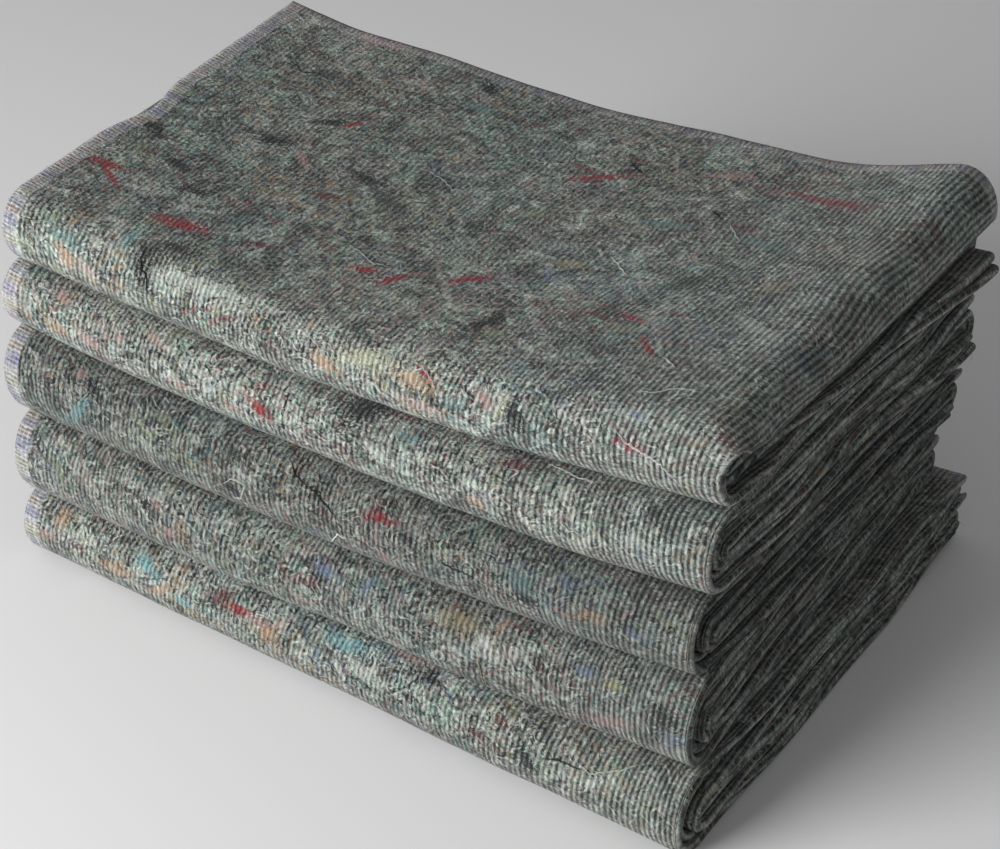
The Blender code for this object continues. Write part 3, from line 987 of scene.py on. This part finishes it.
def add_patches(graph, cloth, apart, colour, patches):
    """Tufts of coloured fibres at their places in the photograph. Returns the colour and where they cover."""
    ragged = graph.math("MULTIPLY_ADD", graph.noise(apart, 230.0, 2.0, 0.62, 2.0).outputs["Fac"], 5.0, -2.5)
    nearest = {}
    for hue, middle, axis, slimness, half_width in patches:
        size = Vector((1, 1, 1)) / half_width
        own = graph.vector("MULTIPLY_ADD", cloth, size, -middle / half_width)
        lengthwise = graph.vector("PROJECT", own, axis)
        own = graph.vector("MULTIPLY_ADD", lengthwise, (-slimness, -slimness, -slimness), own)
        far = graph.node("VectorMath", {0: own}, operation="LENGTH").outputs["Value"]
        nearest[hue] = graph.math("MINIMUM", far, nearest.get(hue, FAR_AWAY))
    cover = 0.0
    for hue, far in nearest.items():
        outside, inside, most = SOLID_TUFT if hue in SOLID_HUES else LOOSE_TUFT
        share = graph.between(graph.math("ADD", far, ragged), outside, inside)
        colour = graph.blend(graph.math("MULTIPLY", share, most), colour, (*HUES[hue], 1))
        cover = graph.math("MAXIMUM", share, cover)
    return colour, cover


def add_overlock(graph, free, across, along, colour):
    """The strip of stitches over the sheet's free edges. Returns the colour and how high the threads stand."""
    from_edge, from_end, _ = graph.split(free)
    height = 0.0
    for distance, place, cover in ((from_edge, along, 1.0), (from_end, across, END_THREAD_SHADE)):
        strip = graph.between(distance, OVERLOCK_WIDTH, OVERLOCK_WIDTH - 0.0015)
        thread = graph.between(graph.math("PINGPONG", graph.math("DIVIDE", place, OVERLOCK_PITCH), 0.5), 0.10, 0.40)
        hue = graph.node("TexNoise", {"W": place, "Scale": 75.0, "Detail": 1.0}, noise_dimensions="1D")
        threads = graph.ramp(hue.outputs["Fac"], EDGE_COLOURS)
        shown = graph.math("MULTIPLY", strip, graph.math("MULTIPLY_ADD", thread, 0.38 * cover, 0.20 * cover))
        colour = graph.blend(shown, colour, threads)
        height = graph.math("ADD", graph.math("MULTIPLY", strip, thread), height)
    return colour, height


def felt_material(blanket, patches):
    graph = Graph("felt_" + str(blanket.index + 1))
    cloth = graph.attribute("cloth").outputs["Vector"]
    free = graph.attribute("free").outputs["Vector"]
    across, along, face = graph.split(cloth)
    apart = graph.vector("MULTIPLY_ADD", graph.join(face, face, 0.0), FACE_SHIFT, cloth)
    crisp = graph.between(across, CRISP_FROM, CRISP_TO)
    line, strength, dash = stitch_rows(graph, apart, across, along, crisp)
    light, tufts, fibres = felt_lightness(graph, apart)
    worn = graph.between(along, RUN_LENGTH + 0.012, RUN_LENGTH - 0.03)
    worn = graph.math("MULTIPLY", worn, graph.math("SUBTRACT", 1.0, crisp))

    felt = graph.ramp(light, FELT_COLOURS)
    tint = graph.ramp(graph.noise(apart, 52.0, 3.0, 0.6, 1.0).outputs["Fac"], TINT_COLOURS)
    felt = graph.blend(1.0, felt, tint, "MULTIPLY")
    felt = add_flecks(graph, apart, felt, worn)
    felt, cover = add_patches(graph, cloth, apart, felt, patches)

    felt = graph.blend(graph.math("MULTIPLY", crisp, 0.18), felt, PLAIN_FELT)
    # Painted shade: the felt in the grooves between the stitch rows is darkened as if it lay in shadow. It is deeper
    # on the crisp right-hand part and shallower on the worn top. The whole is then scaled by the blanket's own
    # lightness and tint.
    depth = graph.math("MULTIPLY_ADD", crisp, 0.15, graph.math("MULTIPLY_ADD", worn, -0.16, 0.46))
    painted_gap_shade = graph.math("MULTIPLY", graph.math("SUBTRACT", 1.0, line), depth)
    tone_and_painted_gap_shade = graph.math("MULTIPLY", graph.math("SUBTRACT", 1.0, painted_gap_shade), LIGHTNESS[blanket.index])
    shade = graph.vector("MULTIPLY", graph.join(tone_and_painted_gap_shade, tone_and_painted_gap_shade, tone_and_painted_gap_shade), FELT_TINT)
    felt = graph.blend(1.0, felt, shade, "MULTIPLY")
    strength = graph.math("MAXIMUM", graph.math("MULTIPLY_ADD", strength, 0.62, 0.10), graph.math("MULTIPLY", crisp, 0.36))
    shown = graph.math("MULTIPLY", line, strength)
    shown = graph.math("MULTIPLY", shown, graph.math("MULTIPLY_ADD", dash, 0.55, 0.45))
    shown = graph.math("MULTIPLY", shown, graph.math("MULTIPLY_ADD", worn, -0.50, 1.0))
    covering = graph.math("MULTIPLY_ADD", worn, PATCH_OVER_WORN_ROWS, PATCH_OVER_ROWS)
    shown = graph.math("MULTIPLY", shown, graph.math("SUBTRACT", 1.0, graph.math("MULTIPLY", cover, covering)))
    felt = graph.blend(shown, felt, tuple(LIGHTNESS[blanket.index] * part for part in STITCH_THREAD[:3]) + (1,))
    felt, threads = add_overlock(graph, free, across, along, felt)
    graph.put(graph.shader.inputs["Base Color"], felt)

    height = graph.math("MULTIPLY", line, 0.00034)
    height = graph.math("MULTIPLY_ADD", dash, 0.00010, height)
    height = graph.math("MULTIPLY_ADD", tufts, 0.00110, height)
    height = graph.math("MULTIPLY_ADD", fibres, 0.00045, height)
    height = graph.math("MULTIPLY_ADD", threads, 0.00025, height)
    bump = graph.node("Bump", {"Height": height, "Distance": 1.0, "Strength": 0.9})
    graph.put(graph.shader.inputs["Normal"], bump.outputs["Normal"])
    graph.shader.inputs["Roughness"].default_value = 0.92
    graph.shader.inputs["Specular IOR Level"].default_value = 0.15
    graph.shader.inputs["Sheen Weight"].default_value = 0.12
    graph.shader.inputs["Sheen Roughness"].default_value = 0.6
    return graph.material


def thread_material(name, lightness):
    """Thread or loose fibre: its own tint, lighter and darker along its length."""
    graph = Graph(name)
    tint = graph.attribute("tint").outputs["Color"]
    place = graph.node("TexCoord", {}).outputs["Object"]
    grain = graph.noise(place, 900.0, 2.0, dimensions="3D").outputs["Fac"]
    shade = graph.math("MULTIPLY_ADD", grain, 1.2, lightness - 0.6)
    graph.put(graph.shader.inputs["Base Color"], graph.blend(1.0, tint, graph.join(shade, shade, shade), "MULTIPLY"))
    bump = graph.node("Bump", {"Height": shade, "Distance": 0.0001, "Strength": 0.5})
    graph.put(graph.shader.inputs["Normal"], bump.outputs["Normal"])
    graph.shader.inputs["Roughness"].default_value = 0.75
    graph.shader.inputs["Specular IOR Level"].default_value = 0.25
    return graph.material


class Surface:
    """The sheets as they lie, to find what shows at a pixel of the photograph or from outside."""

    def __init__(self, sheets):
        depsgraph = bpy.context.evaluated_depsgraph_get()
        self.sheets = sheets
        self.trees = [BVHTree.FromObject(sheet, depsgraph) for sheet in sheets]

    def cast(self, start, direction, reach=10.0):
        """The nearest hit: number of the sheet, place, normal and face. None where nothing is hit."""
        hits = []
        for number, tree in enumerate(self.trees):
            place, normal, face, distance = tree.ray_cast(start, direction, reach)
            if place is not None:
                hits.append((distance, number, place, normal, face))
        return min(hits, key=lambda hit: hit[0])[1:] if hits else None

    def at_pixel(self, x, y):
        right = Vector((math.cos(CAMERA_AZIMUTH), math.sin(CAMERA_AZIMUTH), 0))
        up = camera_back().cross(right)
        focal = CAMERA_LENS / SENSOR_WIDTH * PHOTO_WIDTH
        direction = right * (x - PHOTO_WIDTH / 2) + up * (PHOTO_HEIGHT / 2 - y) - camera_back() * focal
        return self.cast(camera_place(), direction.normalized())

    def cloth_at(self, number, place, face):
        """Place on the flat sheet of a point on one face."""
        mesh = self.sheets[number].data
        corners = mesh.polygons[face].vertices[:3]
        places = [mesh.vertices[corner].co for corner in corners]
        cloth = [mesh.attributes["cloth"].data[corner].vector for corner in corners]
        return barycentric_transform(place, *places, *cloth)

    def above(self, number, place, height):
        """The point at a height above the sheet's nearest point."""
        nearest, normal, _, _ = self.trees[number].find_nearest(place)
        return nearest + normal * height


def patches_by_sheet(surface):
    """The tufts of PATCHES on each sheet: hue, middle and axis on the flat sheet, slimness, half width."""
    found = [[] for _ in surface.sheets]
    for hue, first_x, first_y, last_x, last_y, width in PATCHES:
        hits = [surface.at_pixel(first_x, first_y), surface.at_pixel(last_x, last_y)]
        if None in hits or hits[0][0] != hits[1][0]:
            continue
        first, last = (surface.cloth_at(number, place, face) for number, place, _, face in hits)
        reach = last - first
        if reach.length > LONGEST_PATCH:
            continue
        half_width = width / 2000
        slimness = 1 - half_width / (reach.length / 2 + half_width)
        found[hits[0][0]].append((hue, (first + last) / 2, reach.normalized(), slimness, half_width))
    return found


class Strands:
    """Gathers many thin tubes of thread or fibre into one mesh, each with its own tint."""

    def __init__(self):
        self.points = []
        self.faces = []
        self.tints = []

    def add(self, path, radius, tint):
        first = len(self.points)
        for number, place in enumerate(path):
            along = path[min(number + 1, len(path) - 1)] - path[max(number - 1, 0)]
            side = along.cross(SKEW).normalized()
            other = along.cross(side).normalized()
            at_end = number in (0, len(path) - 1)
            reach = radius * (END_TAPER if at_end else 1.0)
            for corner in range(TUBE_SIDES):
                angle = 2 * math.pi * corner / TUBE_SIDES
                self.points.append(place + reach * (math.cos(angle) * side + math.sin(angle) * other))
        for number in range(len(path) - 1):
            ring = first + number * TUBE_SIDES
            for corner in range(TUBE_SIDES):
                after = (corner + 1) % TUBE_SIDES
                self.faces.append((ring + corner, ring + after, ring + TUBE_SIDES + after,
                                   ring + TUBE_SIDES + corner))
        last = len(self.points) - TUBE_SIDES
        self.faces.append(tuple(first + corner for corner in reversed(range(TUBE_SIDES))))
        self.faces.append(tuple(last + corner for corner in range(TUBE_SIDES)))
        self.tints += [(*tint, 1.0)] * (TUBE_SIDES * len(path))

    def piece(self, name, material, slot):
        mesh = bpy.data.meshes.new(name)
        mesh.from_pydata(self.points, [], self.faces)
        tint = mesh.attributes.new("tint", "FLOAT_COLOR", "POINT")
        tint.data.foreach_set("color", np.array(self.tints, dtype=np.float32).ravel())
        mesh.shade_smooth()
        mesh.materials.append(material)
        piece = bpy.data.objects.new(name, mesh)
        bpy.context.collection.objects.link(piece)
        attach(piece, "root")
        return piece


def edge_stitches(blanket, material):
    """Overlock stitches round the sheet's free edges, each from one face over the edge to the other."""
    strands = Strands()
    hue = random.Random(SEED + blanket.index)
    tint = hue.choice(EDGE_TINTS)
    for layer in (0, BOOK_LAYERS - 1):
        for flat in np.arange(0.006, WHOLE_LENGTH - 0.004, EDGE_STITCH_PITCH):
            rows = [blanket.row_at(flat + lean * EDGE_STITCH_PITCH) for lean in (0.0, 0.1, 0.4, 0.7, 0.8)]
            path = []
            for row, (inward, side) in zip(rows, STITCH_PATH):
                station = ("panel", layer, ("from left", inward + hue.uniform(-0.0006, 0.0006)))
                path.append(blanket.point(station, row, side))
            if hue.random() < EDGE_TINT_CHANGE:
                tint = hue.choice(EDGE_TINTS)
            strands.add(path, EDGE_THREAD_RADIUS, tint)
    for end in (0.0, WHOLE_LENGTH):
        for layer in range(BOOK_LAYERS):
            for x in np.arange(-WIDTH / 2 + 0.012, OVERHANG_START, EDGE_STITCH_PITCH):
                path = []
                for lean, (inward, side) in zip((0.0, 0.1, 0.4, 0.7, 0.8), STITCH_PATH):
                    row = blanket.row_at(abs(end - max(inward, 0.0)))
                    place = x + lean * EDGE_STITCH_PITCH
                    point = blanket.point(("panel", layer, ("at", place)), row, side)
                    path.append(point + Vector((0, -min(inward, 0.0), 0)))
                if hue.random() < EDGE_TINT_CHANGE:
                    tint = hue.choice(EDGE_TINTS)
                strands.add(path, EDGE_THREAD_RADIUS, [END_THREAD_SHADE * part for part in tint])
    return strands.piece("edge_stitches_" + blanket.name, material, "edge_thread")


def thread_path(surface, pixels):
    """A line of points on the sheets through the pixels of a loose thread, and the sheet it lies on."""
    path = []
    sheet = None
    for (x0, y0), (x1, y1) in zip(pixels, pixels[1:]):
        steps = max(2, round(math.hypot(x1 - x0, y1 - y0) / THREAD_STEP))
        for step in range(steps):
            wander = random.uniform(-THREAD_WANDER, THREAD_WANDER)
            hit = surface.at_pixel(mix(x0, x1, step / steps) + wander, mix(y0, y1, step / steps) - wander)
            if hit and sheet in (None, hit[0]):
                sheet = hit[0]
                path.append(hit[1] + hit[2] * THREAD_HEIGHT)
    return path, sheet


def add_threads(surface, strands):
    for hue, width, pixels in THREADS:
        path, sheet = thread_path(surface, pixels)
        if len(path) < 3:
            continue
        for _ in range(THREAD_PLIES):
            first = random.randrange(len(path) // 4 + 1)
            last = len(path) - random.randrange(len(path) // 4 + 1)
            ply = []
            for place in path[first:last]:
                shift = Vector([random.gauss(0, PLY_SPREAD * width) for _ in range(3)])
                ply.append(surface.above(sheet, place + shift, THREAD_HEIGHT * random.uniform(0.5, 2.5)))
            strands[sheet].add(ply, PLY_RADIUS * width, HUES[hue])


def shows(surface, number, face):
    """Whether a face looks out into the open."""
    polygon = surface.sheets[number].data.polygons[face]
    if polygon.normal.z < -0.3:
        return False
    return surface.cast(polygon.center + polygon.normal * 0.0008, polygon.normal, OPEN_REACH) is None


def fuzz_path(surface, number, polygon, length):
    """A curled fibre from one face, that keeps off its sheet."""
    place = polygon.center + polygon.normal * 0.0002
    tangent = polygon.normal.cross(Vector([random.gauss(0, 1) for _ in range(3)])).normalized()
    direction = tangent + polygon.normal * random.uniform(0.0, 0.25)
    path = [place]
    for _ in range(FUZZ_STEPS):
        curl = Vector([random.gauss(0, FUZZ_CURL) for _ in range(3)])
        direction = (direction + curl).normalized()
        place = place + direction * length / FUZZ_STEPS
        nearest, normal, _, _ = surface.trees[number].find_nearest(place)
        if (place - nearest).dot(normal) < 0.0002:
            place = nearest + normal * random.uniform(0.0002, 0.0012)
        place.z = max(place.z, FUZZ_LOWEST)
        path.append(place)
    return path


def add_fuzz(surface, strands):
    """Fine loose fibres on the felt wherever it looks out into the open."""
    for number, sheet in enumerate(surface.sheets):
        polygons = sheet.data.polygons
        areas = np.array([polygon.area for polygon in polygons])
        chooser = np.random.default_rng(SEED + number)
        made = 0
        for face in chooser.choice(len(polygons), FUZZ_TRIALS[number], p=areas / areas.sum()).tolist():
            if not shows(surface, number, face):
                continue
            long_one = random.random() < LONG_FUZZ_SHARE
            length = random.uniform(0.009, 0.018) if long_one else random.uniform(0.003, 0.008)
            tint = HUES[random.choice(FUZZ_HUES)]
            radius = FUZZ_RADIUS * random.uniform(0.7, 1.5)
            strands[number].add(fuzz_path(surface, number, polygons[face], length), radius, tint)
            made += 1
            if made == FUZZ_COUNT[number]:
                break


def add_sheets():
    blankets = [Blanket(index) for index in range(len(PLAN))]
    sheets = [sheet_object(blanket) for blanket in blankets]
    surface = Surface(sheets)
    patches = patches_by_sheet(surface)
    thread = thread_material("edge_thread", 1.0)
    fibre = thread_material("loose_fibre", 0.95)
    strands = [Strands() for _ in sheets]
    add_threads(surface, strands)
    add_fuzz(surface, strands)
    for blanket, piece in zip(blankets, sheets):
        piece.data.materials.append(felt_material(blanket, patches[blanket.index]))
        slot = "felt_" + str(blanket.index + 1)
        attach(piece, "root")
        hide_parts(blanket.name)
        stitches = edge_stitches(blanket, thread)
        fibres = strands[blanket.index].piece("loose_fibres_" + blanket.name, fibre, slot)


def add_floor():
    bpy.ops.mesh.primitive_plane_add(size=12, location=(0, 0, 0))
    floor = bpy.context.object
    floor.name = "floor"
    material = bpy.data.materials.new("pale_floor")
    material.use_nodes = True
    shader = material.node_tree.nodes["Principled BSDF"]
    shader.inputs["Base Color"].default_value = (0.86, 0.86, 0.86, 1)
    shader.inputs["Roughness"].default_value = 0.8
    floor.data.materials.append(material)


def add_light(name, location, target, size, power):
    data = bpy.data.lights.new(name, "AREA")
    data.size = size
    data.energy = power
    light = bpy.data.objects.new(name, data)
    bpy.context.collection.objects.link(light)
    light.location = location
    light.rotation_euler = (Vector(target) - Vector(location)).to_track_quat("-Z", "Y").to_euler()


def add_world(strength):
    world = bpy.data.worlds.new("studio")
    world.use_nodes = True
    background = world.node_tree.nodes["Background"]
    background.inputs["Color"].default_value = (1, 1, 1, 1)
    background.inputs["Strength"].default_value = strength
    bpy.context.scene.world = world


def camera_back():
    """The direction from the stack to the camera."""
    return Vector((math.sin(CAMERA_AZIMUTH) * math.cos(CAMERA_ELEVATION),
                   -math.cos(CAMERA_AZIMUTH) * math.cos(CAMERA_ELEVATION),
                   math.sin(CAMERA_ELEVATION)))


def camera_place():
    return CAMERA_TARGET + CAMERA_DISTANCE * camera_back()


def add_camera():
    data = bpy.data.cameras.new("camera")
    data.lens = CAMERA_LENS
    data.sensor_width = SENSOR_WIDTH
    data.sensor_fit = "HORIZONTAL"
    camera = bpy.data.objects.new("camera", data)
    bpy.context.collection.objects.link(camera)
    camera.location = camera_place()
    camera.rotation_euler = (-camera_back()).to_track_quat("-Z", "Y").to_euler()
    bpy.context.scene.camera = camera


random.seed(SEED)
bpy.context.scene.view_settings.view_transform = "Standard"
bpy.context.scene.cycles.diffuse_bounces = DIFFUSE_BOUNCES
add_camera()
add_world(0.26)
add_light("key", (-0.9, -2.2, 0.95), (0, 0, 0.1), 1.6, 90)
add_floor()
add_sheets()
